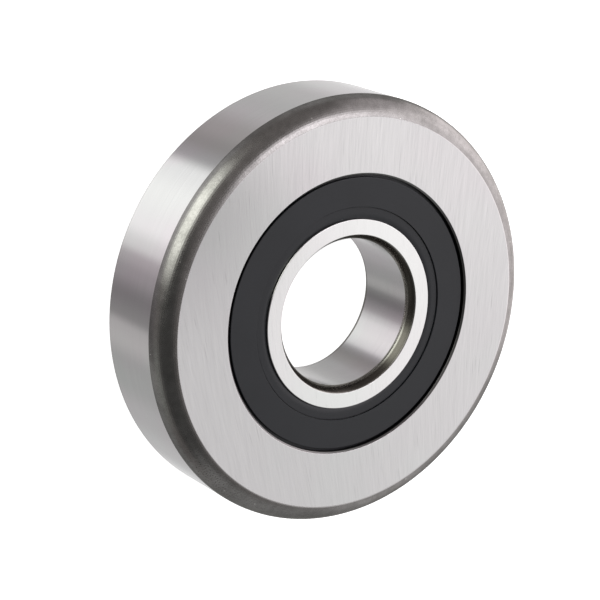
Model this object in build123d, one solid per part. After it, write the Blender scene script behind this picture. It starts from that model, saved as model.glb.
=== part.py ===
from build123d import *
from math import sqrt
import os

# A mast guide roller: a sealed deep-groove ball bearing whose outer ring is the roller itself.
# Millimetres. The axis is Z, the face with the large corner looks up, and the origin is
# on the axis, half way through the outer ring.

# Outer ring, which is the roller
TREAD_DIAMETER = 116.0
OUTER_RING_WIDTH = 26.0
CORNER_RADIAL = 5.15
CORNER_AXIAL = 5.5
CORNER_RADIUS = 6.0
BACK_CORNER = 0.4
RECESS_CHAMFER_RADIAL = 0.45
RECESS_CHAMFER_AXIAL = 0.6

# Inner ring, which sits on the axle
BORE_DIAMETER = 40.0
INNER_RING_WIDTH = 23.0
INNER_RING_SETBACK = 0.6
BORE_CORNER_RADIAL = 1.6
BORE_CORNER_AXIAL = 2.8
BORE_CORNER_RADIUS = 4.5
LAND_CHAMFER = 0.1

# Balls and raceways
BALL_DIAMETER = 15.081
PITCH_DIAMETER = 65.0
BALL_COUNT = 8
RACE_RADIUS_RATIO = 0.52
RACE_CLEARANCE = 0.02
SHOULDER_HEIGHT = 3.06

# Pressed cage, two halves riveted together between the balls
CAGE_SHEET = 1.0
CAGE_SIDE_CLEARANCE = 0.8
POCKET_CLEARANCE = 0.1
RIVET_DIAMETER = 2.0
RIVET_HEAD_DIAMETER = 3.6
RIVET_HEAD_HEIGHT = 0.7
RIVET_HEAD_TAPER = 0.5

# Where the seals sit: a ledge and a snap groove in the outer ring, a land on the inner ring
SEAT_LEDGE = 0.65
BEAD_GRIP = 1.25
LAND_STEP = 2.3
SHOULDER_GAP = 0.15
CAGE_GAP = 0.5

# Rubber of each seal
SEAL_THICKNESS = 2.31
MOAT_WIDTH = 0.75
MOAT_DEPTH = 1.0
SEAL_EDGE_RADIUS = 0.2
STEP_BAND = 3.3
STEP_DEPTH = 0.35
STEP_GROOVE_WIDTH = 0.2
STEP_GROOVE_DEPTH = 0.25
LIP_ROUNDING_WIDTH = 1.6
LIP_ROUNDING_DROP = 0.5
LIP_ROUNDING_RADIUS = 3.0
LIP_TIP = 0.5
LIP_CLEARANCE = 0.05

# Steel disc moulded into each seal
INSERT_SHEET = 0.5
INSERT_EDGE_INSET = 0.5
INSERT_COVER = 0.8
INSERT_LIP_MARGIN = 2.2

# Radii worked out from the balls outwards and inwards
ball_radius = BALL_DIAMETER / 2
pitch_radius = PITCH_DIAMETER / 2
race_radius = RACE_RADIUS_RATIO * BALL_DIAMETER
outer_groove_radius = pitch_radius + ball_radius + RACE_CLEARANCE
inner_groove_radius = pitch_radius - ball_radius - RACE_CLEARANCE
outer_shoulder_radius = outer_groove_radius - SHOULDER_HEIGHT
inner_shoulder_radius = inner_groove_radius + SHOULDER_HEIGHT
recess_radius = outer_shoulder_radius + SEAT_LEDGE
bead_radius = recess_radius + BEAD_GRIP
land_radius = inner_shoulder_radius - LAND_STEP
bore_radius = BORE_DIAMETER / 2
tread_radius = TREAD_DIAMETER / 2

# Heights above the plane of the balls, the same towards the front and the back
race_half_width = sqrt(race_radius**2 - (race_radius - SHOULDER_HEIGHT) ** 2)
inner_half = INNER_RING_WIDTH / 2
pocket_radius = ball_radius + POCKET_CLEARANCE
dome_radius = pocket_radius + CAGE_SHEET
seal_seat = dome_radius + CAGE_GAP
seal_top = seal_seat + SEAL_THICKNESS
bead_top = seal_top - MOAT_DEPTH

# Heights in the roller's own frame
outer_half = OUTER_RING_WIDTH / 2
ball_plane = outer_half - INNER_RING_SETBACK - inner_half


def turned(edges):
    """A solid of revolution from the edges of its half section, radius across and height up."""
    return revolve(Plane.XZ * make_face(edges), Axis.Z)


def on_side(solid, side):
    """Put what is drawn above the plane of the balls on the front or the back of the bearing."""
    placed = solid if side > 0 else mirror(solid, Plane.XY)
    return Pos(0, 0, ball_plane) * placed


def seal_seat_outline(side):
    """Outer ring's section from the ball groove out to the face, on the front or the back."""
    face = side * outer_half
    return [
        (outer_shoulder_radius, ball_plane + side * race_half_width),
        (outer_shoulder_radius, ball_plane + side * seal_seat),
        (bead_radius, ball_plane + side * seal_seat),
        (bead_radius, ball_plane + side * bead_top),
        (recess_radius, ball_plane + side * bead_top),
        (recess_radius, face - side * RECESS_CHAMFER_AXIAL),
        (recess_radius + RECESS_CHAMFER_RADIAL, face),
    ]


def outer_ring():
    """Heavy ring with its tread, one large corner, a ball groove and a seal seat on each side."""
    front, back = seal_seat_outline(1), seal_seat_outline(-1)
    face_edge = (tread_radius - CORNER_RADIAL, outer_half)
    tread_front = (tread_radius, outer_half - CORNER_AXIAL)
    tread_back = (tread_radius, -outer_half + BACK_CORNER)
    back_edge = (tread_radius - BACK_CORNER, -outer_half)
    return turned([
        ThreePointArc(back[0], (outer_groove_radius, ball_plane), front[0]),
        Polyline(*front, face_edge),
        RadiusArc(face_edge, tread_front, CORNER_RADIUS),
        Line(tread_front, tread_back),
        RadiusArc(tread_back, back_edge, BACK_CORNER),
        Polyline(back_edge, *reversed(back)),
    ])


def inner_ring_outline(side):
    """Inner ring's section from the ball groove out to the bore corner, above or below."""
    shoulder_end = seal_seat - SHOULDER_GAP
    return [
        (inner_shoulder_radius, side * race_half_width),
        (inner_shoulder_radius, side * shoulder_end),
        (land_radius, side * shoulder_end),
        (land_radius, side * (inner_half - LAND_CHAMFER)),
        (land_radius - LAND_CHAMFER, side * inner_half),
        (bore_radius + BORE_CORNER_RADIAL, side * inner_half),
    ]


def inner_ring():
    """Ring with rounded bore corners, a ball groove and a stepped land under each seal lip."""
    front, back = inner_ring_outline(1), inner_ring_outline(-1)
    bore_front = (bore_radius, inner_half - BORE_CORNER_AXIAL)
    bore_back = (bore_radius, -inner_half + BORE_CORNER_AXIAL)
    ring = turned([
        ThreePointArc(front[0], (inner_groove_radius, 0), back[0]),
        Polyline(*back),
        RadiusArc(back[-1], bore_back, BORE_CORNER_RADIUS),
        Line(bore_back, bore_front),
        RadiusArc(bore_front, front[-1], BORE_CORNER_RADIUS),
        Polyline(*reversed(front)),
    ])
    return Pos(0, 0, ball_plane) * ring


def ball_places():
    """Where the balls' centres lie, evenly spaced round the pitch circle."""
    spacing = 360 / BALL_COUNT
    return [Rot(0, 0, spacing * turn) * Pos(pitch_radius, 0, 0) for turn in range(BALL_COUNT)]


def rivet_places():
    """Half way between each two balls, on the pitch circle."""
    return [Rot(0, 0, 180 / BALL_COUNT) * place for place in ball_places()]


def ball(place):
    """One ball in its place between the raceways."""
    return Pos(0, 0, ball_plane) * place * Sphere(ball_radius)


def cage_band(height):
    """Plain ring between the shoulders, from the joint of the cage halves up to a height."""
    inside = inner_shoulder_radius + CAGE_SIDE_CLEARANCE
    outside = outer_shoulder_radius - CAGE_SIDE_CLEARANCE
    return extrude(Circle(outside) - Circle(inside), height)


def cage_half():
    """One pressed wavy ring: flat webs between the balls and a domed half pocket over each."""
    domes = [cage_band(dome_radius) & place * Sphere(dome_radius) for place in ball_places()]
    hollows = [place * Sphere(pocket_radius) for place in ball_places()]
    rivet_hole = Cylinder(RIVET_DIAMETER / 2, 3 * CAGE_SHEET)
    rivet_holes = [place * rivet_hole for place in rivet_places()]
    return cage_band(CAGE_SHEET) + domes - hollows - rivet_holes


def cage_rivets():
    """One rivet through each pair of webs, with a low tapered head on both sides."""
    shank = RIVET_DIAMETER / 2
    head = RIVET_HEAD_DIAMETER / 2
    top = CAGE_SHEET + RIVET_HEAD_HEIGHT
    upper = [(0, top), (head - RIVET_HEAD_TAPER, top), (head, CAGE_SHEET), (shank, CAGE_SHEET)]
    lower = [(radius, -height) for radius, height in reversed(upper)]
    rivet = turned(Polyline(*upper, *lower, close=True))
    return Compound([Pos(0, 0, ball_plane) * place * rivet for place in rivet_places()])


def seal_insert():
    """Stiffening disc with its outer rim turned up, bare on the balls' side."""
    inside = land_radius + INSERT_LIP_MARGIN
    outside = recess_radius - MOAT_WIDTH - INSERT_EDGE_INSET
    rim_inside = outside - INSERT_SHEET
    disc_top = seal_seat + INSERT_SHEET
    rim_top = seal_top - INSERT_COVER
    outline = [
        (inside, seal_seat),
        (outside, seal_seat),
        (outside, rim_top),
        (rim_inside, rim_top),
        (rim_inside, disc_top),
        (inside, disc_top),
    ]
    return turned(Polyline(*outline, close=True))


def seal_rubber():
    """Moulded rubber: bead, raised flat face, grooved step and a lip that drops to the land."""
    face_radius = recess_radius - MOAT_WIDTH
    face_edge = (face_radius - SEAL_EDGE_RADIUS, seal_top)
    wall_top = (face_radius, seal_top - SEAL_EDGE_RADIUS)
    moat_corner = (face_radius, bead_top)
    step_radius = land_radius + STEP_BAND
    band_top = seal_top - STEP_DEPTH
    groove_radius = step_radius - STEP_GROOVE_WIDTH
    groove_bottom = band_top - STEP_GROOVE_DEPTH
    lip_radius = land_radius + LIP_CLEARANCE
    lip_crest = (lip_radius + LIP_ROUNDING_WIDTH, band_top)
    tip_top = (lip_radius, band_top - LIP_ROUNDING_DROP)
    tip_bottom = (lip_radius, tip_top[1] - LIP_TIP)
    rubber = turned([
        Polyline(moat_corner, (bead_radius, bead_top), (bead_radius, seal_seat)),
        Polyline((bead_radius, seal_seat), (lip_crest[0], seal_seat), tip_bottom, tip_top),
        RadiusArc(tip_top, lip_crest, LIP_ROUNDING_RADIUS),
        Polyline(lip_crest, (groove_radius, band_top), (groove_radius, groove_bottom)),
        Polyline((groove_radius, groove_bottom), (step_radius, groove_bottom)),
        Polyline((step_radius, groove_bottom), (step_radius, seal_top), face_edge),
        RadiusArc(face_edge, wall_top, SEAL_EDGE_RADIUS),
        Line(wall_top, moat_corner),
    ])
    return rubber - seal_insert()


def write(name, solid):
    """Save one piece under its own name."""
    export_step(solid, f"parts/{name}.step")


def main():
    os.makedirs("parts", exist_ok=True)
    write("outer_ring", outer_ring())
    write("inner_ring", inner_ring())
    for number, place in enumerate(ball_places(), start=1):
        write(f"ball_{number}", ball(place))
    write("cage_rivets", cage_rivets())
    for name, side in (("front", 1), ("back", -1)):
        write(f"cage_{name}_half", on_side(cage_half(), side))
        write(f"{name}_seal", on_side(seal_rubber(), side))
        write(f"{name}_seal_insert", on_side(seal_insert(), side))


main()
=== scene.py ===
from math import asin, atan2, cos, pi, radians, sin, sqrt, tan

import bpy
from bpy.props import FloatProperty, FloatVectorProperty, IntProperty, PointerProperty
from mathutils import Matrix, Vector


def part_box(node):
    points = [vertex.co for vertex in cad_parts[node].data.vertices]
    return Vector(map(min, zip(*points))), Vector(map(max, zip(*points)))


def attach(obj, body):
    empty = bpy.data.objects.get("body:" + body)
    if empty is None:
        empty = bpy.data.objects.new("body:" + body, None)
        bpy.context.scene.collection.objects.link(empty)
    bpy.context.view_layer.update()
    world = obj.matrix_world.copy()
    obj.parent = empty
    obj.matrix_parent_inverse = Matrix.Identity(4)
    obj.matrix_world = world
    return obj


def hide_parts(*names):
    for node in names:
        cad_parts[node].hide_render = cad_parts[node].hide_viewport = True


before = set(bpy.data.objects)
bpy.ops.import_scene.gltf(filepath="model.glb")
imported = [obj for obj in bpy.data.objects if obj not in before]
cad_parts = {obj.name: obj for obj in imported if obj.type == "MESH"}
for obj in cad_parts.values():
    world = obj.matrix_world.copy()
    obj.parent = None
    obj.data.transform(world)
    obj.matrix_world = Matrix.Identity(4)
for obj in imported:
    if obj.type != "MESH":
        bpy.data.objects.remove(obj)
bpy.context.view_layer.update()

bl_info = {
    "name": "Mast Roller",
    "version": (1, 0, 0),
    "blender": (4, 5, 0),
    "location": "View3D > Sidebar > Roller",
    "description": "A sealed mast guide roller with ground and unground steel, black seals and a studio",
    "category": "Add Mesh",
}

MM = 0.001

OUTER_LOW, OUTER_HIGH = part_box("outer_ring")
INNER_LOW, INNER_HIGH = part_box("inner_ring")
SEAL_LOW, SEAL_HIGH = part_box("front_seal")
BALL_LOW, BALL_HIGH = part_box("ball_1")

TREAD_RADIUS = OUTER_HIGH.x
FACE_HEIGHT = OUTER_HIGH.z
FLOOR_HEIGHT = OUTER_LOW.z
BALL_PLANE = (INNER_HIGH.z + INNER_LOW.z) / 2
INNER_HALF = (INNER_HIGH.z - INNER_LOW.z) / 2
SHOULDER_RADIUS = INNER_HIGH.x
BEAD_RADIUS = SEAL_HIGH.x
SEAL_TOP = SEAL_HIGH.z - BALL_PLANE
SEAL_SEAT = SEAL_LOW.z - BALL_PLANE
BALL_RADIUS = (BALL_HIGH.z - BALL_LOW.z) / 2
PITCH_RADIUS = (BALL_HIGH.x + BALL_LOW.x) / 2

# Two points closer than this are one
WELD = 0.001 * MM
# How far from its ends a long straight run of an outline gets an extra point
EDGE_HOLD = 0.12 * MM
# Bevel that breaks the sharp edges, the turn that makes an edge sharp and the turn that stays shaded
BROKEN_EDGE = 0.03 * MM
SHARP_TURN = radians(28)
SHADED_TURN = radians(35)
# Straight runs that each round stretch is drawn with
CORNER_STEPS = 14
SMALL_STEPS = 5
FLARE_STEPS = 5
TURN_STEPS = 7
LIP_STEPS = 8
RACE_STEPS = 16
# Slack when a face is told by its place, and the least upward share of a level face's normal
SLACK = 0.02 * MM
LEVEL = 0.999


def length(label, text, millimetres):
    """A length that a user can set, shown in the scene's own units."""
    return FloatProperty(
        name=label, description=text, default=millimetres * MM, min=0.0, unit="LENGTH", precision=5
    )


def colour(label, text, rgb):
    """A colour that a user can set."""
    return FloatVectorProperty(
        name=label, description=text, default=rgb, size=3, min=0.0, max=1.0, subtype="COLOR"
    )


class RingSizes(bpy.types.PropertyGroup):
    """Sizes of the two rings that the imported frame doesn't give by itself."""

    segments: IntProperty(
        name="Segments", description="Facets round each turned piece", default=192, min=48, max=256
    )
    corner_radial: length("Corner inwards", "How far the large corner reaches in from the tread", 5.15)
    corner_axial: length("Corner down", "How far the large corner reaches down from the face", 5.5)
    corner_radius: length("Corner radius", "Radius of the large corner", 6.0)
    back_corner: length("Back corner", "Radius of the small corner at the back", 0.4)
    recess_radius: length("Recess radius", "Radius of the recess that the seal lies in", 37.65)
    recess_chamfer_radial: length("Recess chamfer outwards", "How far the recess flares out", 0.45)
    recess_chamfer_axial: length("Recess chamfer down", "How far down the recess flares", 0.38)
    outer_shoulder: length("Outer shoulder", "Radius of the outer ring beside its ball groove", 37.0)
    land_radius: length("Land radius", "Radius of the inner ring's land under a seal lip", 25.7)
    land_chamfer: length("Land chamfer", "Broken edge of the land", 0.1)
    bore_radius: length("Bore radius", "Radius of the bore for the stub axle", 20.0)
    bore_corner_radial: length("Bore corner outwards", "How far the bore corner reaches out", 1.6)
    bore_corner_axial: length("Bore corner down", "How far the bore corner reaches into the bore", 2.7)
    bore_flare_radial: length("Bore flare outwards", "How much of the bore corner is its flare", 1.35)
    bore_flare_axial: length("Bore flare down", "How far the bore corner's flare reaches down", 1.95)
    bore_flare_radius: length("Bore flare radius", "Radius of the bore corner's flare", 9.0)
    bore_turn_radius: length("Bore turn radius", "Radius of the turn from the flare to the bore", 1.55)
    race_ratio: FloatProperty(
        name="Race ratio", description="Groove radius as a share of the ball's diameter", default=0.52
    )
    race_clearance: length("Race clearance", "Gap between a ball and its groove", 0.02)
    shoulder_gap: length("Shoulder gap", "Gap between a seal and the inner ring's shoulder", 0.15)


class SealSizes(bpy.types.PropertyGroup):
    """Sizes of the moulded rubber seals."""

    moat_width: length("Moat width", "Open ring between the seal's face and the recess wall", 0.75)
    moat_depth: length("Moat depth", "How far the moat's floor lies below the seal's face", 1.0)
    edge_radius: length("Edge radius", "Rounding of the raised face", 0.2)
    step_band: length("Step band", "Width of the lip band inside the fine step", 3.3)
    step_depth: length("Step depth", "Drop at the fine step", 0.35)
    groove_width: length("Groove width", "Width of the fine groove at the foot of the step", 0.2)
    groove_depth: length("Groove depth", "Depth of the fine groove at the foot of the step", 0.25)
    lip_width: length("Lip rounding width", "Width of the lip's rounding towards the land", 1.6)
    lip_drop: length("Lip rounding drop", "Height of the lip's rounding", 0.25)
    lip_radius: length("Lip rounding radius", "Radius of the lip's rounding", 5.3)
    lip_tip: length("Lip tip", "Height of the lip's edge beside the land", 0.5)
    lip_clearance: length("Lip clearance", "Gap between the lip and the land", 0.05)
    insert_margin: length("Insert margin", "From the land to the inner edge of the steel insert", 2.2)
    insert_inset: length("Insert inset", "From the face's edge to the insert's rim", 0.5)
    insert_cover: length("Insert cover", "Rubber above the insert's rim", 0.8)
    insert_sheet: length("Insert sheet", "Thickness of the insert", 0.5)


class RollerFinish(bpy.types.PropertyGroup):
    """Colours of the finishes."""

    ground: colour("Ground steel", "Ground faces of the outer ring", (0.678, 0.674, 0.675))
    ground_dark: colour("Grinding lines", "The darker lines left by grinding", (0.582, 0.578, 0.580))
    inner: colour("Inner ring faces", "Ground faces of the inner ring", (0.835, 0.835, 0.83))
    inner_dark: colour("Inner ring lines", "The darker lines on these faces", (0.79, 0.79, 0.785))
    fine: colour("Fine ground steel", "Finely ground tread and bore", (0.80, 0.79, 0.795))
    scale_dark: colour("Dark skin", "Unground corner, the darker patches", (0.216, 0.210, 0.204))
    scale_light: colour("Worn skin", "Unground corner, the lighter patches", (0.337, 0.328, 0.321))
    scale_rim: colour("Ground rim", "Thin rim of the corner, ground with the face", (0.58, 0.57, 0.57))
    nick: colour("Nicks", "Bright nicks in the unground corner", (0.62, 0.61, 0.59))
    rubbed: colour("Rubbed bore corner", "Bore corner that grinding has rubbed", (0.33, 0.32, 0.295))
    band: colour("Bore band", "Dark band round the bore corner", (0.095, 0.089, 0.079))
    recess: colour("Recess chamfer", "Turned chamfer round the seal", (0.22, 0.22, 0.215))
    recess_dark: colour("Recess lines", "The darker turning lines of the chamfer", (0.15, 0.15, 0.15))
    # The recess wall's two colours are painted shade: they darken the turned wall below the chamfer,
    # where shadow lies in the recess
    painted_shade_wall: colour("Painted shade wall", "Turned wall of the recess", (0.035, 0.035, 0.035))
    painted_shade_wall_lines: colour("Painted shade lines", "The darker turning lines of the wall", (0.025, 0.025, 0.025))
    rubber: colour("Rubber", "Black seal rubber", (0.0155, 0.0175, 0.0215))
    dust: colour("Dust", "Specks of dust on the rubber", (0.16, 0.16, 0.16))


def scene_settings():
    """The three groups of settings of this scene."""
    scene = bpy.context.scene
    return scene.roller_rings, scene.roller_seals, scene.roller_finish


def arc(start, end, radius, steps):
    """Points after start, up to end, along the convex clockwise arc between them."""
    middle = (Vector(start) + Vector(end)) / 2
    chord = Vector(end) - Vector(start)
    rise = sqrt(radius**2 - (chord.length / 2) ** 2)
    centre = middle + Vector((chord.y, -chord.x)).normalized() * rise
    first = atan2(start[1] - centre.y, start[0] - centre.x)
    sweep = -2 * asin(chord.length / 2 / radius)
    angles = [first + sweep * step / steps for step in range(1, steps + 1)]
    return [(centre.x + radius * cos(angle), centre.y + radius * sin(angle)) for angle in angles]


def held(section):
    """The same closed section, with a point close to both ends of each long straight run."""
    points = []
    for index, point in enumerate(section):
        start, end = Vector(point), Vector(section[(index + 1) % len(section)])
        run = end - start
        points.append(tuple(start))
        if run.length > 4 * EDGE_HOLD:
            points.append(tuple(start + run.normalized() * EDGE_HOLD))
            points.append(tuple(end - run.normalized() * EDGE_HOLD))
    return points


def lathe(name, section, segments):
    """Turn a closed section of (radius, height) points: a circle is extruded and scaled round it."""
    section = held(section)
    bpy.ops.object.select_all(action="DESELECT")
    radius, height = section[0]
    bpy.ops.mesh.primitive_circle_add(vertices=segments, radius=radius, location=(0, 0, height))
    piece = bpy.context.active_object
    piece.name = piece.data.name = name
    bpy.ops.object.transform_apply(location=True, rotation=True, scale=True)
    bpy.ops.object.mode_set(mode="EDIT")
    bpy.ops.mesh.select_all(action="SELECT")
    for next_radius, next_height in section[1:] + section[:1]:
        growth = next_radius / radius
        bpy.ops.mesh.extrude_edges_move(
            TRANSFORM_OT_translate={"value": (0, 0, next_height - height)}
        )
        bpy.ops.transform.resize(value=(growth, growth, 1), center_override=(0, 0, 0))
        radius, height = next_radius, next_height
    bpy.ops.mesh.select_all(action="SELECT")
    bpy.ops.mesh.remove_doubles(threshold=WELD)
    bpy.ops.mesh.normals_make_consistent(inside=False)
    bpy.ops.object.mode_set(mode="OBJECT")
    return piece


def soften(piece):
    """Break the sharp edges of a turned piece by a small bevel, and shade it smooth."""
    bevel = piece.modifiers.new("broken edges", "BEVEL")
    bevel.width = BROKEN_EDGE
    bevel.segments = 2
    bevel.limit_method = "ANGLE"
    bevel.angle_limit = SHARP_TURN
    bpy.context.view_layer.objects.active = piece
    piece.select_set(True)
    bpy.ops.object.modifier_apply(modifier=bevel.name)
    bpy.ops.object.shade_smooth_by_angle(angle=SHADED_TURN)


def paint(piece, zones):
    """Give each face the first material whose test of radius, height and upward normal holds."""
    for material, _test in zones:
        piece.data.materials.append(material)
    for polygon in piece.data.polygons:
        place = (polygon.center.xy.length, polygon.center.z, polygon.normal.z)
        polygon.material_index = next(
            index for index, (_material, test) in enumerate(zones) if test(*place)
        )


def race_half_width(rings):
    """Half the width of a ball groove where it meets its shoulder, and the groove's radius."""
    race = rings.race_ratio * 2 * BALL_RADIUS
    bottom = PITCH_RADIUS + BALL_RADIUS + rings.race_clearance
    depth = bottom - rings.outer_shoulder
    return sqrt(race**2 - (race - depth) ** 2), race


def groove(shoulder, half_width, race, outwards):
    """Points along a ball groove from one side to the other, sunk outwards (1) or inwards (-1)."""
    centre = shoulder - outwards * sqrt(race**2 - half_width**2)
    span = asin(half_width / race)
    angles = [span * (2 * step / RACE_STEPS - 1) for step in range(1, RACE_STEPS)]
    return [(centre + outwards * race * cos(angle), race * sin(angle)) for angle in angles]


def outer_section(rings, seals):
    """Half section of the outer ring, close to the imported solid."""
    half, race = race_half_width(rings)
    bead_top = SEAL_TOP - seals.moat_depth

    def seat(side):
        face = FACE_HEIGHT if side > 0 else FLOOR_HEIGHT
        return [
            (rings.outer_shoulder, BALL_PLANE + side * half),
            (rings.outer_shoulder, BALL_PLANE + side * SEAL_SEAT),
            (BEAD_RADIUS, BALL_PLANE + side * SEAL_SEAT),
            (BEAD_RADIUS, BALL_PLANE + side * bead_top),
            (rings.recess_radius, BALL_PLANE + side * bead_top),
            (rings.recess_radius, face - side * rings.recess_chamfer_axial),
            (rings.recess_radius + rings.recess_chamfer_radial, face),
        ]

    face_edge = (TREAD_RADIUS - rings.corner_radial, FACE_HEIGHT)
    tread_front = (TREAD_RADIUS, FACE_HEIGHT - rings.corner_axial)
    tread_back = (TREAD_RADIUS, FLOOR_HEIGHT + rings.back_corner)
    back_edge = (TREAD_RADIUS - rings.back_corner, FLOOR_HEIGHT)
    race_points = groove(rings.outer_shoulder, half, race, 1)
    return (
        seat(1)
        + [face_edge]
        + arc(face_edge, tread_front, rings.corner_radius, CORNER_STEPS)
        + [tread_back]
        + arc(tread_back, back_edge, rings.back_corner, SMALL_STEPS)
        + list(reversed(seat(-1)))
        + [(radius, BALL_PLANE + height) for radius, height in race_points]
    )


def inner_section(rings):
    """Half section of the inner ring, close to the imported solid."""
    half, race = race_half_width(rings)
    shoulder_end = SEAL_SEAT - rings.shoulder_gap

    def flank(side):
        return [
            (SHOULDER_RADIUS, side * half),
            (SHOULDER_RADIUS, side * shoulder_end),
            (rings.land_radius, side * shoulder_end),
            (rings.land_radius, side * (INNER_HALF - rings.land_chamfer)),
            (rings.land_radius - rings.land_chamfer, side * INNER_HALF),
            (rings.bore_radius + rings.bore_corner_radial, side * INNER_HALF),
        ]

    front, back = flank(1), flank(-1)
    bore_front = (rings.bore_radius, INNER_HALF - rings.bore_corner_axial)
    bore_back = (rings.bore_radius, -INNER_HALF + rings.bore_corner_axial)
    bend_radius = front[-1][0] - rings.bore_flare_radial
    bend_front = (bend_radius, INNER_HALF - rings.bore_flare_axial)
    bend_back = (bend_radius, -INNER_HALF + rings.bore_flare_axial)
    outline = (
        back
        + arc(back[-1], bend_back, rings.bore_flare_radius, FLARE_STEPS)
        + arc(bend_back, bore_back, rings.bore_turn_radius, TURN_STEPS)
        + [bore_front]
        + arc(bore_front, bend_front, rings.bore_turn_radius, TURN_STEPS)
        + arc(bend_front, front[-1], rings.bore_flare_radius, FLARE_STEPS)
        + list(reversed(front))[1:]
        + list(reversed(groove(SHOULDER_RADIUS, half, race, -1)))
    )
    return [(radius, BALL_PLANE + height) for radius, height in outline]


def seal_section(rings, seals, side):
    """Half section of one seal's rubber, with room for its steel insert."""
    face_radius = rings.recess_radius - seals.moat_width
    bead_top = SEAL_TOP - seals.moat_depth
    face_edge = (face_radius - seals.edge_radius, SEAL_TOP)
    wall_top = (face_radius, SEAL_TOP - seals.edge_radius)
    step_radius = rings.land_radius + seals.step_band
    band_top = SEAL_TOP - seals.step_depth
    groove_radius = step_radius - seals.groove_width
    groove_bottom = band_top - seals.groove_depth
    lip_radius = rings.land_radius + seals.lip_clearance
    lip_crest = (lip_radius + seals.lip_width, band_top)
    tip_top = (lip_radius, band_top - seals.lip_drop)
    tip_bottom = (lip_radius, tip_top[1] - seals.lip_tip)
    insert_inside = rings.land_radius + seals.insert_margin
    insert_outside = face_radius - seals.insert_inset
    rim_inside = insert_outside - seals.insert_sheet
    rim_top = SEAL_TOP - seals.insert_cover
    disc_top = SEAL_SEAT + seals.insert_sheet
    outline = (
        [tip_bottom, tip_top]
        + arc(tip_top, lip_crest, seals.lip_radius, LIP_STEPS)
        + [(groove_radius, band_top), (groove_radius, groove_bottom), (step_radius, groove_bottom)]
        + [(step_radius, SEAL_TOP), face_edge]
        + arc(face_edge, wall_top, seals.edge_radius, SMALL_STEPS)
        + [(face_radius, bead_top), (BEAD_RADIUS, bead_top), (BEAD_RADIUS, SEAL_SEAT)]
        + [(insert_outside, SEAL_SEAT), (insert_outside, rim_top), (rim_inside, rim_top)]
        + [(rim_inside, disc_top), (insert_inside, disc_top), (insert_inside, SEAL_SEAT)]
        + [(lip_crest[0], SEAL_SEAT)]
    )
    return [(radius, BALL_PLANE + side * height) for radius, height in outline]


FLOAT = "NodeSocketFloat"
VECTOR = "NodeSocketVector"
COLOR = "NodeSocketColor"


def shader_group(name, inputs, outputs):
    """A new shader node group with its named inputs and outputs."""
    group = bpy.data.node_groups.new(name, "ShaderNodeTree")
    for label, kind, default in inputs:
        socket = group.interface.new_socket(label, in_out="INPUT", socket_type=kind)
        if default is not None:
            socket.default_value = default
    for label, kind in outputs:
        group.interface.new_socket(label, in_out="OUTPUT", socket_type=kind)
    return group, group.nodes.new("NodeGroupInput").outputs, group.nodes.new("NodeGroupOutput").inputs


class Wiring:
    """Short ways to place and link the nodes of one tree."""

    def __init__(self, tree):
        self.tree = tree

    def feed(self, socket, value):
        """Link a socket to another one, or set its value; a colour gets its alpha here."""
        if isinstance(value, bpy.types.NodeSocket):
            self.tree.links.new(value, socket)
        elif socket.type == "RGBA":
            socket.default_value = (*value, 1)
        else:
            socket.default_value = value

    def place(self, kind, settings=None, **inputs):
        """A node with its settings, and its inputs linked or set by name."""
        node = self.tree.nodes.new(kind)
        for key, value in (settings or {}).items():
            setattr(node, key, value)
        for key, value in inputs.items():
            self.feed(node.inputs[key.replace("_", " ")], value)
        return node

    def effect(self, name, **inputs):
        """The outputs of a shared effect, placed with its own values."""
        group = bpy.data.node_groups.get(name) or EFFECTS[name](name)
        return self.place("ShaderNodeGroup", {"node_tree": group}, **inputs).outputs

    def noise(self, place, scale, detail, roughness=0.5):
        """Soft cloudy noise from 0 to 1."""
        return self.place("ShaderNodeTexNoise", Vector=place, Scale=scale, Detail=detail,
                          Roughness=roughness).outputs[0]

    def math(self, operation, *values, clamp=False):
        """The result of one math step."""
        node = self.place("ShaderNodeMath", {"operation": operation, "use_clamp": clamp})
        for socket, value in zip(node.inputs, values):
            self.feed(socket, value)
        return node.outputs[0]

    def vector(self, operation, *values):
        """The result of one vector step."""
        node = self.place("ShaderNodeVectorMath", {"operation": operation})
        for socket, value in zip(node.inputs, values):
            self.feed(socket, value)
        return node.outputs["Value" if operation == "DOT_PRODUCT" else "Vector"]

    def spread(self, value, low, high, to_low=0.0, to_high=1.0, smooth=True):
        """Map a value from one range to another, held at both ends."""
        kind = "SMOOTHSTEP" if smooth else "LINEAR"
        node = self.place("ShaderNodeMapRange", {"interpolation_type": kind, "clamp": True})
        for key, item in zip(("Value", "From Min", "From Max", "To Min", "To Max"),
                             (value, low, high, to_low, to_high)):
            self.feed(node.inputs[key], item)
        return node.outputs["Result"]

    def blend(self, factor, first, second, kind="MIX"):
        """A colour between two others, or the first one tinted where the kind is MULTIPLY."""
        node = self.place("ShaderNodeMix", {"data_type": "RGBA", "blend_type": kind})
        for index, item in ((0, factor), (6, first), (7, second)):
            self.feed(node.inputs[index], item)
        return node.outputs[2]


def round_axis_group(name):
    """Object coordinates as radius, length along the arc and height about an axis."""
    group, given, result = shader_group(
        name,
        [("Position", VECTOR, None), ("Reference Radius", FLOAT, 0.05)],
        [("Radius", FLOAT), ("Arc", FLOAT), ("Height", FLOAT)],
    )
    w = Wiring(group)
    parts = w.place("ShaderNodeSeparateXYZ", Vector=given["Position"]).outputs
    square = w.math("ADD", w.math("MULTIPLY", parts["X"], parts["X"]),
                    w.math("MULTIPLY", parts["Y"], parts["Y"]))
    w.feed(result["Radius"], w.math("SQRT", square))
    angle = w.math("ARCTAN2", parts["Y"], parts["X"])
    w.feed(result["Arc"], w.math("MULTIPLY", angle, given["Reference Radius"]))
    w.feed(result["Height"], parts["Z"])
    return group


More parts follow.
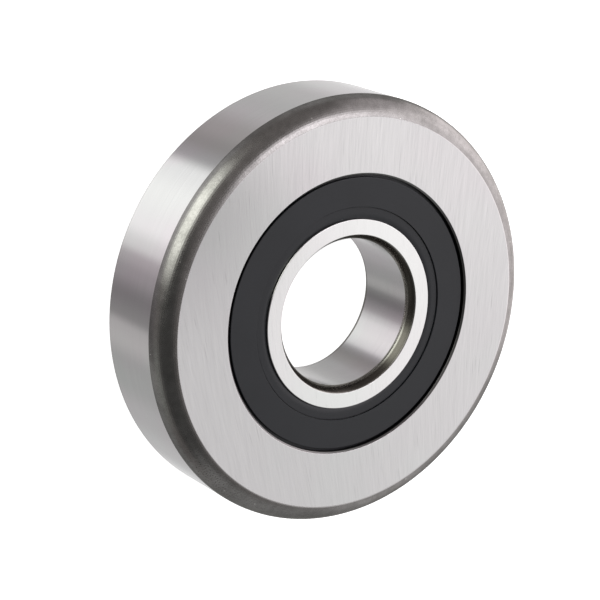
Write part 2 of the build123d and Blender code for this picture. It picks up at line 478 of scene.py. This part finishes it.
def grinding_group(name):
    """Lines left by a wheel: streaks that are short across and long along."""
    group, given, result = shader_group(
        name,
        [
            ("Across", FLOAT, None),
            ("Along", FLOAT, None),
            ("Line Width", FLOAT, 0.0002),
            ("Line Length", FLOAT, 0.02),
            ("Seed", FLOAT, 0.0),
        ],
        [("Lines", FLOAT), ("Scratches", FLOAT)],
    )
    w = Wiring(group)

    def streaks(width_share, length_share, offset, detail):
        across = w.math("DIVIDE", given["Across"], w.math("MULTIPLY", given["Line Width"], width_share))
        along = w.math("DIVIDE", given["Along"], w.math("MULTIPLY", given["Line Length"], length_share))
        seed = w.math("ADD", given["Seed"], offset)
        place = w.place("ShaderNodeCombineXYZ", X=across, Y=along, Z=seed).outputs[0]
        return w.noise(place, 1.0, detail, 0.6)

    fine = streaks(1.0, 1.0, 0.0, 2.0)
    broad = streaks(4.0, 2.5, 7.3, 2.0)
    both = w.math("ADD", w.math("MULTIPLY", fine, 0.75), w.math("MULTIPLY", broad, 0.25))
    w.feed(result["Lines"], w.spread(both, 0.32, 0.68, smooth=False))
    w.feed(result["Scratches"], w.spread(streaks(1.4, 0.7, 21.0, 0.0), 0.74, 0.86))
    return group


def skin_group(name):
    """Dark heat-treated skin: large patches, smaller blotches, fine mottling and rubbed spots."""
    group, given, result = shader_group(
        name,
        [
            ("Position", VECTOR, None),
            ("Patch Size", FLOAT, 0.006),
            ("Dark", COLOR, None),
            ("Light", COLOR, None),
        ],
        [("Color", COLOR), ("Roughness", FLOAT), ("Height", FLOAT)],
    )
    w = Wiring(group)

    def cloud(size_share, detail):
        scale = w.math("DIVIDE", 1.0, w.math("MULTIPLY", given["Patch Size"], size_share))
        return w.noise(given["Position"], scale, detail, 0.6)

    patches = w.spread(cloud(1.0, 3.0), 0.35, 0.68)
    blotches = w.spread(cloud(0.28, 3.0), 0.35, 0.68)
    mottle = w.spread(cloud(0.08, 3.0), 0.3, 0.7)
    rubbed = w.spread(cloud(0.04, 1.0), 0.68, 0.76)
    share = w.math("ADD", w.math("MULTIPLY", patches, 0.40), w.math("MULTIPLY", mottle, 0.26))
    share = w.math("ADD", share, w.math("MULTIPLY", blotches, 0.30))
    share = w.math("ADD", share, w.math("MULTIPLY", rubbed, 0.4), clamp=True)
    w.feed(result["Color"], w.blend(share, given["Dark"], given["Light"]))
    w.feed(result["Roughness"], w.spread(mottle, 0.0, 1.0, 0.29, 0.23, smooth=False))
    w.feed(result["Height"], w.math("ADD", mottle, w.math("MULTIPLY", patches, 0.5)))
    return group


def clouds_group(name):
    """Two faint tints in large soft clouds, as handling leaves them on ground steel."""
    group, given, result = shader_group(
        name,
        [
            ("Position", VECTOR, None),
            ("Scale", FLOAT, 30.0),
            ("First", COLOR, None),
            ("Second", COLOR, None),
        ],
        [("Color", COLOR)],
    )
    w = Wiring(group)
    share = w.spread(w.noise(given["Position"], given["Scale"], 2.0), 0.35, 0.65)
    w.feed(result["Color"], w.blend(share, given["First"], given["Second"]))
    return group


def specks_group(name):
    """Small scattered spots, such as dust on rubber or tiny pits in steel."""
    group, given, result = shader_group(
        name,
        [
            ("Position", VECTOR, None),
            ("Spacing", FLOAT, 0.004),
            ("Spot Size", FLOAT, 0.05),
            ("Amount", FLOAT, 0.2),
        ],
        [("Mask", FLOAT)],
    )
    w = Wiring(group)
    cells = w.place("ShaderNodeTexVoronoi", Vector=given["Position"],
                    Scale=w.math("DIVIDE", 1.0, given["Spacing"])).outputs
    draws = w.place("ShaderNodeSeparateColor", Color=cells["Color"]).outputs
    chosen = w.math("LESS_THAN", draws[0], given["Amount"])
    limit = w.math("MULTIPLY", given["Spot Size"], w.math("ADD", draws[1], 0.3))
    near = w.math("LESS_THAN", cells["Distance"], limit)
    w.feed(result["Mask"], w.math("MULTIPLY", chosen, near))
    return group


def panel_group(name):
    """A soft-edged rectangle of light in the surroundings, seen in one direction."""
    group, given, result = shader_group(
        name,
        [
            ("Direction", VECTOR, None),
            ("Centre", VECTOR, None),
            ("Across", VECTOR, None),
            ("Upwards", VECTOR, None),
            ("Half Width", FLOAT, 0.3),
            ("Half Height", FLOAT, 0.3),
            ("Softness", FLOAT, 0.1),
        ],
        [("Mask", FLOAT)],
    )
    w = Wiring(group)

    def along(axis):
        return w.vector("DOT_PRODUCT", given["Direction"], given[axis])

    def inside(axis, half):
        offset = w.math("ABSOLUTE", w.math("DIVIDE", along(axis), ahead))
        outer = w.math("ADD", given[half], given["Softness"])
        inner = w.math("SUBTRACT", given[half], given["Softness"])
        return w.spread(offset, inner, outer, 1.0, 0.0)

    ahead = w.math("MAXIMUM", along("Centre"), 0.001)
    facing = w.math("GREATER_THAN", ahead, 0.01)
    both = w.math("MULTIPLY", inside("Across", "Half Width"), inside("Upwards", "Half Height"))
    w.feed(result["Mask"], w.math("MULTIPLY", both, facing))
    return group


EFFECTS = {
    "Round the Axis": round_axis_group,
    "Grinding Lines": grinding_group,
    "Dark Skin": skin_group,
    "Soft Clouds": clouds_group,
    "Specks": specks_group,
    "Soft Panel": panel_group,
}

# The far point that the grinding lines of the faces run towards, and how much they bow, per metre
LINES_MEET = (0.249, 0.168, 0.0)
LINES_BOW = 1.0
# Second set of grinding lines: its slope against the first, its width and its share
CROSS_SLOPE = 0.13
CROSS_WIDTH = 2.2
CROSS_SHARE = 0.38
# How far the ground face is off the roller's axis, and how soft the edge of the grinding is
GRINDING_SHIFT = (0.11 * MM, 0.19 * MM, 0.0)
RIM_FADE = 0.15 * MM
# Depths below the inner ring's face at which the dark band of the bore corner sets in and ends
BAND_START = (0.15 * MM, 0.4 * MM)
BAND_END = (1.55 * MM, 1.95 * MM)
# Tint of the unground skin's grazing reflection
SKIN_EDGE = (0.45, 0.45, 0.44)


def shade(rgb, share):
    """A colour with each of its parts times a share."""
    return tuple(share * part for part in rgb)


def new_material(name):
    """An empty node material with its shader, object coordinates and a wiring helper."""
    material = bpy.data.materials.new(name)
    material.use_nodes = True
    w = Wiring(material.node_tree)
    shader = material.node_tree.nodes["Principled BSDF"]
    place = w.place("ShaderNodeTexCoord").outputs["Object"]
    return material, w, shader, place


def new_steel(name, edge=(1.0, 1.0, 1.0)):
    """A new material of bare steel, with the tint of its grazing reflection."""
    material, w, shader, place = new_material(name)
    shader.inputs["Metallic"].default_value = 1.0
    w.feed(shader.inputs["Specular Tint"], edge)
    return material, w, shader, place


def bump(w, shader, height, distance):
    """Feed the shader's normal from a height."""
    node = w.place("ShaderNodeBump", Height=height, Distance=distance)
    w.feed(shader.inputs["Normal"], node.outputs["Normal"])


def ground_face(name, light, dark, roughness, line_width, line_length, depth):
    """Ground steel with fine, slightly bowed lines that run towards a far point beside the ring."""
    material, w, shader, place = new_steel(name)
    reach = Vector(LINES_MEET).length
    polar = w.effect("Round the Axis", Position=w.vector("SUBTRACT", place, LINES_MEET),
                     Reference_Radius=reach)
    inwards = w.math("SUBTRACT", polar["Radius"], reach)
    bow = w.math("MULTIPLY", w.math("MULTIPLY", inwards, inwards), LINES_BOW)
    across = w.math("ADD", polar["Arc"], bow)
    lines = w.effect("Grinding Lines", Across=across, Along=polar["Radius"],
                     Line_Width=line_width, Line_Length=line_length, Seed=1.7)
    skewed = w.math("ADD", across, w.math("MULTIPLY", inwards, CROSS_SLOPE))
    crossing = w.effect("Grinding Lines", Across=skewed, Along=polar["Radius"],
                        Line_Width=line_width * CROSS_WIDTH, Line_Length=line_length, Seed=9.3)
    both = w.math("ADD", w.math("MULTIPLY", lines["Lines"], 1 - CROSS_SHARE),
                  w.math("MULTIPLY", crossing["Lines"], CROSS_SHARE))
    base = w.blend(lines["Scratches"], w.blend(both, dark, light), shade(dark, 0.9))
    tint = w.effect("Soft Clouds", Position=place, Scale=28.0,
                    First=(0.99, 1.0, 0.99), Second=(1.0, 0.982, 0.988))["Color"]
    tinted = w.blend(1.0, base, tint, "MULTIPLY")
    pits = w.effect("Specks", Position=place, Spacing=22 * MM, Spot_Size=0.012, Amount=0.18)["Mask"]
    w.feed(shader.inputs["Base Color"], w.blend(pits, tinted, (0.10, 0.095, 0.09)))
    rough = w.spread(both, 0.0, 1.0, roughness + 0.05, roughness, smooth=False)
    w.feed(shader.inputs["Roughness"], rough)
    bump(w, shader, both, depth)
    return material


def turned_wall(name, light, dark, roughness, radius, line_width, line_length, depth):
    """Steel ground or turned round the axis, with its lines running along the circumference."""
    material, w, shader, place = new_steel(name, (0.85, 0.85, 0.85))
    polar = w.effect("Round the Axis", Position=place, Reference_Radius=radius)
    lines = w.effect("Grinding Lines", Across=polar["Height"], Along=polar["Arc"],
                     Line_Width=line_width, Line_Length=line_length, Seed=4.1)["Lines"]
    tint = w.effect("Soft Clouds", Position=place, Scale=40.0,
                    First=(0.985, 1.0, 0.985), Second=(1.0, 0.965, 0.98))["Color"]
    tinted = w.blend(1.0, w.blend(lines, dark, light), tint, "MULTIPLY")
    pits = w.effect("Specks", Position=place, Spacing=9 * MM, Spot_Size=0.03, Amount=0.16)["Mask"]
    w.feed(shader.inputs["Base Color"], w.blend(pits, tinted, (0.16, 0.15, 0.14)))
    rough = w.spread(lines, 0.0, 1.0, roughness + 0.03, roughness, smooth=False)
    w.feed(shader.inputs["Roughness"], rough)
    bump(w, shader, lines, depth)
    return material


def dark_corner(name, finish, patch, ground_radius):
    """Corner that the wheels left alone, apart from a thin, uneven rim ground with the face."""
    material, w, shader, place = new_steel(name, SKIN_EDGE)
    skin = w.effect("Dark Skin", Position=place, Patch_Size=patch,
                    Dark=finish.scale_dark, Light=finish.scale_light)
    shifted = w.vector("SUBTRACT", place, GRINDING_SHIFT)
    radius = w.effect("Round the Axis", Position=shifted)["Radius"]
    rim = w.spread(radius, ground_radius, ground_radius + RIM_FADE, 1.0, 0.0)
    nicks = w.effect("Specks", Position=place, Spacing=2.6 * MM, Spot_Size=0.07, Amount=0.4)["Mask"]
    worn = w.blend(w.math("MULTIPLY", nicks, 0.75), skin["Color"], finish.nick)
    w.feed(shader.inputs["Base Color"], w.blend(rim, worn, finish.scale_rim))
    w.feed(shader.inputs["Roughness"], skin["Roughness"])
    bump(w, shader, skin["Height"], 0.0036 * MM)
    return material


def banded_corner(name, finish, patch):
    """Corner of the bore: a dark band of skin between edges rubbed by the grinding of face and bore."""
    material, w, shader, place = new_steel(name, SKIN_EDGE)
    skin = w.effect("Dark Skin", Position=place, Patch_Size=patch,
                    Dark=shade(finish.rubbed, 0.86), Light=finish.rubbed)
    height = w.effect("Round the Axis", Position=place)["Height"]
    middle = w.math("ABSOLUTE", w.math("SUBTRACT", height, BALL_PLANE))
    depth = w.math("SUBTRACT", INNER_HALF, middle)
    band = w.math("MULTIPLY", w.spread(depth, *BAND_START), w.spread(depth, *BAND_END, 1.0, 0.0))
    w.feed(shader.inputs["Base Color"], w.blend(band, skin["Color"], finish.band))
    w.feed(shader.inputs["Roughness"], skin["Roughness"])
    bump(w, shader, skin["Height"], 0.0015 * MM)
    return material


def rubber(name, finish):
    """Smooth moulded black rubber with a little dust."""
    material, w, shader, place = new_material(name)
    cloud = w.noise(place, 70.0, 3.0)
    grain = w.noise(place, 3500.0, 2.0)
    base = w.blend(w.spread(cloud, 0.35, 0.65), shade(finish.rubber, 0.88), finish.rubber)
    dust = w.effect("Specks", Position=place, Spacing=4.5 * MM, Spot_Size=0.03, Amount=0.3)["Mask"]
    w.feed(shader.inputs["Base Color"], w.blend(dust, base, finish.dust))
    w.feed(shader.inputs["Roughness"], w.spread(cloud, 0.3, 0.7, 0.33, 0.41))
    shader.inputs["Specular IOR Level"].default_value = 0.36
    bump(w, shader, grain, 0.004 * MM)
    return material


def plain_steel(name, light, dark, roughness):
    """Pressed or polished steel of the hidden pieces, with faint marks all over."""
    material, w, shader, place = new_steel(name)
    marks = w.noise(place, 420.0, 4.0)
    w.feed(shader.inputs["Base Color"], w.blend(w.spread(marks, 0.35, 0.65), dark, light))
    w.feed(shader.inputs["Roughness"], w.spread(marks, 0.3, 0.7, roughness, roughness + 0.08))
    bump(w, shader, marks, 0.002 * MM)
    return material


def settle(piece, body, node):
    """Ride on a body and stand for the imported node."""
    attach(piece, body)
    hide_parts(node)


class RollerOuterRing(bpy.types.Operator):
    """Turn the outer ring and give it ground, unground and machined steel"""

    bl_idname = "roller.outer_ring"
    bl_label = "Outer ring"

    def execute(self, context):
        rings, seals, finish = scene_settings()
        piece = lathe("outer_ring_turned", outer_section(rings, seals), rings.segments)
        soften(piece)
        face_edge = TREAD_RADIUS - rings.corner_radial
        corner_end = FACE_HEIGHT - rings.corner_axial
        back_end = FLOOR_HEIGHT + rings.back_corner
        recess_edge = rings.recess_radius + rings.recess_chamfer_radial
        flare_end = FACE_HEIGHT - rings.recess_chamfer_axial
        face = ground_face(
            "ground_face_steel", finish.ground, finish.ground_dark, roughness=0.11,
            line_width=0.17 * MM, line_length=13 * MM, depth=0.0013 * MM)
        tread = turned_wall(
            "ground_tread_steel", finish.fine, shade(finish.fine, 0.955), roughness=0.09,
            radius=TREAD_RADIUS, line_width=0.22 * MM, line_length=30 * MM, depth=0.0005 * MM)
        corner = dark_corner(
            "unground_corner_steel", finish, patch=7 * MM, ground_radius=face_edge + 0.1 * MM)
        flare = turned_wall(
            "turned_recess_steel", finish.recess, finish.recess_dark, roughness=0.32,
            radius=rings.recess_radius, line_width=0.1 * MM, line_length=20 * MM, depth=0.001 * MM)
        # Painted shade: the recess wall below the chamfer gets these dark colours in place of the shadow
        # in the recess behind the seal's edge
        wall = turned_wall(
            "painted_shade_recess_steel", finish.painted_shade_wall, finish.painted_shade_wall_lines, roughness=0.4,
            radius=rings.recess_radius, line_width=0.1 * MM, line_length=20 * MM, depth=0.001 * MM)
        paint(piece, [
            (flare, lambda r, z, up: r < recess_edge and abs(z) > flare_end - SLACK),
            (wall, lambda r, z, up: r < recess_edge),
            (face, lambda r, z, up: abs(up) > LEVEL),
            (corner, lambda r, z, up: z > corner_end - SLACK and r > face_edge - SLACK),
            (corner, lambda r, z, up: z < back_end and r > face_edge),
            (tread, lambda r, z, up: True),
        ])
        settle(piece, "roller", "outer_ring")
        return {"FINISHED"}


class RollerInnerRing(bpy.types.Operator):
    """Turn the inner ring with its ground bore and dark rounded corners"""

    bl_idname = "roller.inner_ring"
    bl_label = "Inner ring"

    def execute(self, context):
        rings, _seals, finish = scene_settings()
        piece = lathe("inner_ring_turned", inner_section(rings), rings.segments)
        soften(piece)
        bore_edge = rings.bore_radius + rings.bore_corner_radial
        straight = INNER_HALF - rings.bore_corner_axial
        face = ground_face(
            "ground_inner_face_steel", finish.inner, finish.inner_dark, roughness=0.11,
            line_width=0.12 * MM, line_length=7 * MM, depth=0.0008 * MM)
        bore = turned_wall(
            "ground_bore_steel", shade(finish.fine, 0.845), shade(finish.fine, 0.80), roughness=0.17,
            radius=rings.bore_radius, line_width=0.18 * MM, line_length=10 * MM, depth=0.0005 * MM)
        corner = banded_corner("unground_bore_corner_steel", finish, patch=4 * MM)
        paint(piece, [
            (face, lambda r, z, up: abs(up) > LEVEL and r > bore_edge),
            (bore, lambda r, z, up: r < bore_edge and abs(z - BALL_PLANE) < straight),
            (corner, lambda r, z, up: r < bore_edge),
            (face, lambda r, z, up: True),
        ])
        settle(piece, "inner_ring", "inner_ring")
        return {"FINISHED"}


class RollerSeals(bpy.types.Operator):
    """Mould the two rubber seals"""

    bl_idname = "roller.seals"
    bl_label = "Seals"

    def execute(self, context):
        rings, seals, finish = scene_settings()
        black = rubber("seal_rubber", finish)
        for name, side in (("front", 1), ("back", -1)):
            piece = lathe(f"{name}_seal_moulded", seal_section(rings, seals, side), rings.segments)
            soften(piece)
            piece.data.materials.append(black)
            settle(piece, "roller", f"{name}_seal")
        return {"FINISHED"}


class RollerRunningGear(bpy.types.Operator):
    """Finish the balls, the cage, its rivets and the seals' steel inserts"""

    bl_idname = "roller.running_gear"
    bl_label = "Running gear"

    def execute(self, context):
        looks = {
            "ball": ("polished_ball_steel", (0.80, 0.80, 0.81), (0.76, 0.76, 0.77), 0.06),
            "cage": ("pressed_cage_steel", (0.58, 0.57, 0.55), (0.46, 0.45, 0.44), 0.3),
            "insert": ("pressed_insert_steel", (0.52, 0.52, 0.53), (0.42, 0.42, 0.43), 0.34),
        }
        for word, look in looks.items():
            material = plain_steel(*look)
            for node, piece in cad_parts.items():
                if word in node:
                    piece.data.materials.clear()
                    piece.data.materials.append(material)
        return {"FINISHED"}


# Width and focal length in the photograph's pixels, and the camera sensor's width
PHOTO_WIDTH = 600
FOCAL_PIXELS = 2200
SENSOR = 36.0
# The roller's axis as the camera sees it: how much of it points right and up
AXIS_RIGHT = 0.554
AXIS_UP = -0.246
# How far the front face's centre is from the camera, and from the middle of the picture
CAMERA_DISTANCE = 577.6 * MM
CENTRE_RIGHT = 13.38 * MM
CENTRE_UP = -4.0 * MM

FLOOR_SIZE = 6.0
FLOOR_GLOW = 0.93
SURROUNDINGS = (0.30, 0.28, 0.275)
# Azimuth, elevation, half width, half height and softness in degrees, then the light
PANELS = (
    (-25, 45, 42, 34, 14, (0.11, 0.11, 0.108)),
    (40, 2, 26, 36, 12, (0.47, 0.47, 0.47)),
    (88, 2, 26, 30, 7, (0.95, 0.93, 0.935)),
    (160, 18, 15, 32, 9, (0.92, 0.86, 0.88)),
    (121.5, 10, 28, 40, 4, (1.75, 1.66, 1.69)),
    (131, -4, 15, 28, 9, (2.5, 2.37, 2.42)),
    (145, 61, 14, 12, 5, (3.5, 3.36, 3.50)),
    (86, 47, 14, 14, 6, (1.04, 1.035, 1.035)),
    (100, 55, 4, 8, 2, (1.20, 1.155, 1.175)),
    (79, 55, 5, 7, 2, (0.87, 0.87, 0.87)),
    (90.6, 66.4, 2.2, 12.1, 0.6, (0.64, 0.63, 0.64)),
    (92.6, 66.4, 1.0, 12.1, 0.6, (0.38, 0.372, 0.376)),
    (-100, 5, 22, 26, 9, (3.1, 3.18, 2.95)),
    (-28, -5, 16, 13, 6, (0.455, 0.47, 0.445)),
)
# A panel of the same kind that hangs low, in front of the light from below
SKIRT = (119, -20, 24, 12, 7, (3.1, 2.93, 3.0))
# Azimuth in degrees and the light that comes up past the floor from there
LOW_CARDS = (
    (-178, (0.54, 0.535, 0.535)),
    (-158, (0.40, 0.385, 0.38)),
    (-146, (0.325, 0.315, 0.31)),
    (-136, (0.40, 0.392, 0.40)),
    (-127, (1.02, 1.017, 1.02)),
    (-110, (1.14, 1.14, 1.13)),
    (-90, (1.08, 1.065, 1.07)),
    (-78, (0.80, 0.785, 0.79)),
    (-71, (0.47, 0.44, 0.455)),
    (-63, (0.36, 0.335, 0.35)),
    (-50, (0.225, 0.213, 0.22)),
    (-38.5, (0.27, 0.265, 0.265)),
    (-32.5, (0.49, 0.485, 0.48)),
    (-24, (0.52, 0.52, 0.51)),
    (-12, (0.42, 0.425, 0.42)),
    (0, (0.44, 0.445, 0.44)),
    (22, (0.54, 0.54, 0.54)),
    (46, (0.635, 0.635, 0.635)),
    (70, (0.82, 0.82, 0.82)),
    (105, (0.97, 0.965, 0.965)),
    (130, (0.84, 0.83, 0.83)),
    (154, (0.615, 0.605, 0.605)),
    (177, (0.54, 0.535, 0.535)),
)
# Elevations in degrees between which that light gives way to the panels
LOW_END = (-30, -8)


def camera_axes():
    """Right, up and backward directions of the camera: it looks down along +Y and is rolled."""
    elevation = asin(sqrt(1 - AXIS_RIGHT**2 - AXIS_UP**2))
    roll = atan2(AXIS_RIGHT, AXIS_UP)
    level = Vector((1, 0, 0))
    raised = Vector((0, sin(elevation), cos(elevation)))
    backward = Vector((0, -cos(elevation), sin(elevation)))
    right = cos(roll) * level + sin(roll) * raised
    up = -sin(roll) * level + cos(roll) * raised
    return right, up, backward


def add_camera():
    """Camera at the photograph's viewing angle, distance and framing."""
    right, up, backward = camera_axes()
    centre = Vector((0, 0, FACE_HEIGHT))
    place = centre + CAMERA_DISTANCE * backward - CENTRE_RIGHT * right - CENTRE_UP * up
    turn = Matrix((right, up, backward)).transposed()
    bpy.ops.object.camera_add(location=place, rotation=turn.to_euler())
    camera = bpy.context.active_object
    camera.data.sensor_fit = "HORIZONTAL"
    camera.data.sensor_width = SENSOR
    camera.data.lens = FOCAL_PIXELS / PHOTO_WIDTH * SENSOR
    camera.data.clip_start = 0.01
    bpy.context.scene.camera = camera


def ramp(w, factor, stops):
    """A soft colour ramp from (place, colour) stops."""
    node = w.place("ShaderNodeValToRGB", Fac=factor)
    node.color_ramp.interpolation = "EASE"
    elements = node.color_ramp.elements
    while len(elements) > 1:
        elements.remove(elements[-1])
    for index, (place, tone) in enumerate(stops):
        element = elements[0] if index == 0 else elements.new(place)
        element.position = place
        element.color = (*tone, 1)
    return node.outputs["Color"]


def compass(azimuth, elevation):
    """Unit vector towards a direction given in degrees."""
    level = cos(radians(elevation))
    return Vector((level * cos(radians(azimuth)), level * sin(radians(azimuth)),
                   sin(radians(elevation))))


def add_world():
    """Surroundings that look plain white to the camera and light the roller with soft panels."""
    world = bpy.data.worlds.new("studio")
    bpy.context.scene.world = world
    world.use_nodes = True
    w = Wiring(world.node_tree)
    background = world.node_tree.nodes["Background"]
    direction = w.place("ShaderNodeTexCoord").outputs["Generated"]

    def hang(behind, azimuth, elevation, half_width, half_height, softness, tone):
        centre = compass(azimuth, elevation)
        across = compass(azimuth + 90, 0)
        mask = w.effect(
            "Soft Panel", Direction=direction, Centre=centre, Across=across,
            Upwards=centre.cross(across), Half_Width=tan(radians(half_width)),
            Half_Height=tan(radians(half_height)), Softness=tan(radians(softness)),
        )["Mask"]
        return w.blend(mask, behind, tone)

    light = SURROUNDINGS
    for card in PANELS:
        light = hang(light, *card)
    parts = w.place("ShaderNodeSeparateXYZ", Vector=direction).outputs
    turn = w.math("ADD", w.math("DIVIDE", w.math("ARCTAN2", parts["Y"], parts["X"]), 2 * pi), 0.5)
    below = ramp(w, turn, [(azimuth / 360 + 0.5, tone) for azimuth, tone in LOW_CARDS])
    start, end = (sin(radians(elevation)) for elevation in LOW_END)
    light = w.blend(w.spread(parts["Z"], start, end), below, light)
    light = hang(light, *SKIRT)
    seen = w.place("ShaderNodeLightPath").outputs["Is Camera Ray"]
    w.feed(background.inputs["Color"], w.blend(seen, light, (1, 1, 1)))


def add_floor():
    """Pale floor that keeps a soft shadow; the steel sees the light of the surroundings past it."""
    bpy.ops.object.select_all(action="DESELECT")
    bpy.ops.mesh.primitive_plane_add(size=FLOOR_SIZE, location=(0, 0, FLOOR_HEIGHT))
    floor = bpy.context.active_object
    floor.name = "studio_floor"
    floor.visible_glossy = False
    material = bpy.data.materials.new("studio_floor")
    material.use_nodes = True
    material.cycles.emission_sampling = "NONE"
    w = Wiring(material.node_tree)
    inputs = material.node_tree.nodes["Principled BSDF"].inputs
    w.feed(inputs["Base Color"], (0.9, 0.9, 0.9))
    w.feed(inputs["Roughness"], 0.9)
    w.feed(inputs["Specular IOR Level"], 0.0)
    w.feed(inputs["Emission Color"], (1, 1, 1))
    seen = w.place("ShaderNodeLightPath").outputs["Is Camera Ray"]
    w.feed(inputs["Emission Strength"], w.math("MULTIPLY", seen, FLOOR_GLOW))
    floor.data.materials.append(material)


class RollerStage(bpy.types.Operator):
    """Set up the camera, the surroundings and the pale floor"""

    bl_idname = "roller.stage"
    bl_label = "Studio"

    def execute(self, context):
        context.scene.view_settings.view_transform = "Standard"
        add_camera()
        add_world()
        add_floor()
        return {"FINISHED"}


class RollerPanel(bpy.types.Panel):
    """Buttons that build the roller piece by piece, and its sizes and colours"""

    bl_idname = "VIEW3D_PT_roller"
    bl_label = "Mast Roller"
    bl_space_type = "VIEW_3D"
    bl_region_type = "UI"
    bl_category = "Roller"

    def draw(self, context):
        for operator in OPERATORS:
            self.layout.operator(operator.bl_idname)
        for settings in scene_settings():
            box = self.layout.box()
            for key in settings.__annotations__:
                box.prop(settings, key)


OPERATORS = (RollerOuterRing, RollerInnerRing, RollerSeals, RollerRunningGear, RollerStage)
GROUPS = {"roller_rings": RingSizes, "roller_seals": SealSizes, "roller_finish": RollerFinish}


def register():
    for group in GROUPS.values():
        bpy.utils.register_class(group)
    for key, group in GROUPS.items():
        setattr(bpy.types.Scene, key, PointerProperty(type=group))
    for item in (*OPERATORS, RollerPanel):
        bpy.utils.register_class(item)


def unregister():
    for item in (RollerPanel, *reversed(OPERATORS)):
        bpy.utils.unregister_class(item)
    for key, group in GROUPS.items():
        delattr(bpy.types.Scene, key)
        bpy.utils.unregister_class(group)


def main():
    register()
    bpy.ops.roller.outer_ring()
    bpy.ops.roller.inner_ring()
    bpy.ops.roller.seals()
    bpy.ops.roller.running_gear()
    bpy.ops.roller.stage()


if __name__ == "__main__":
    main()
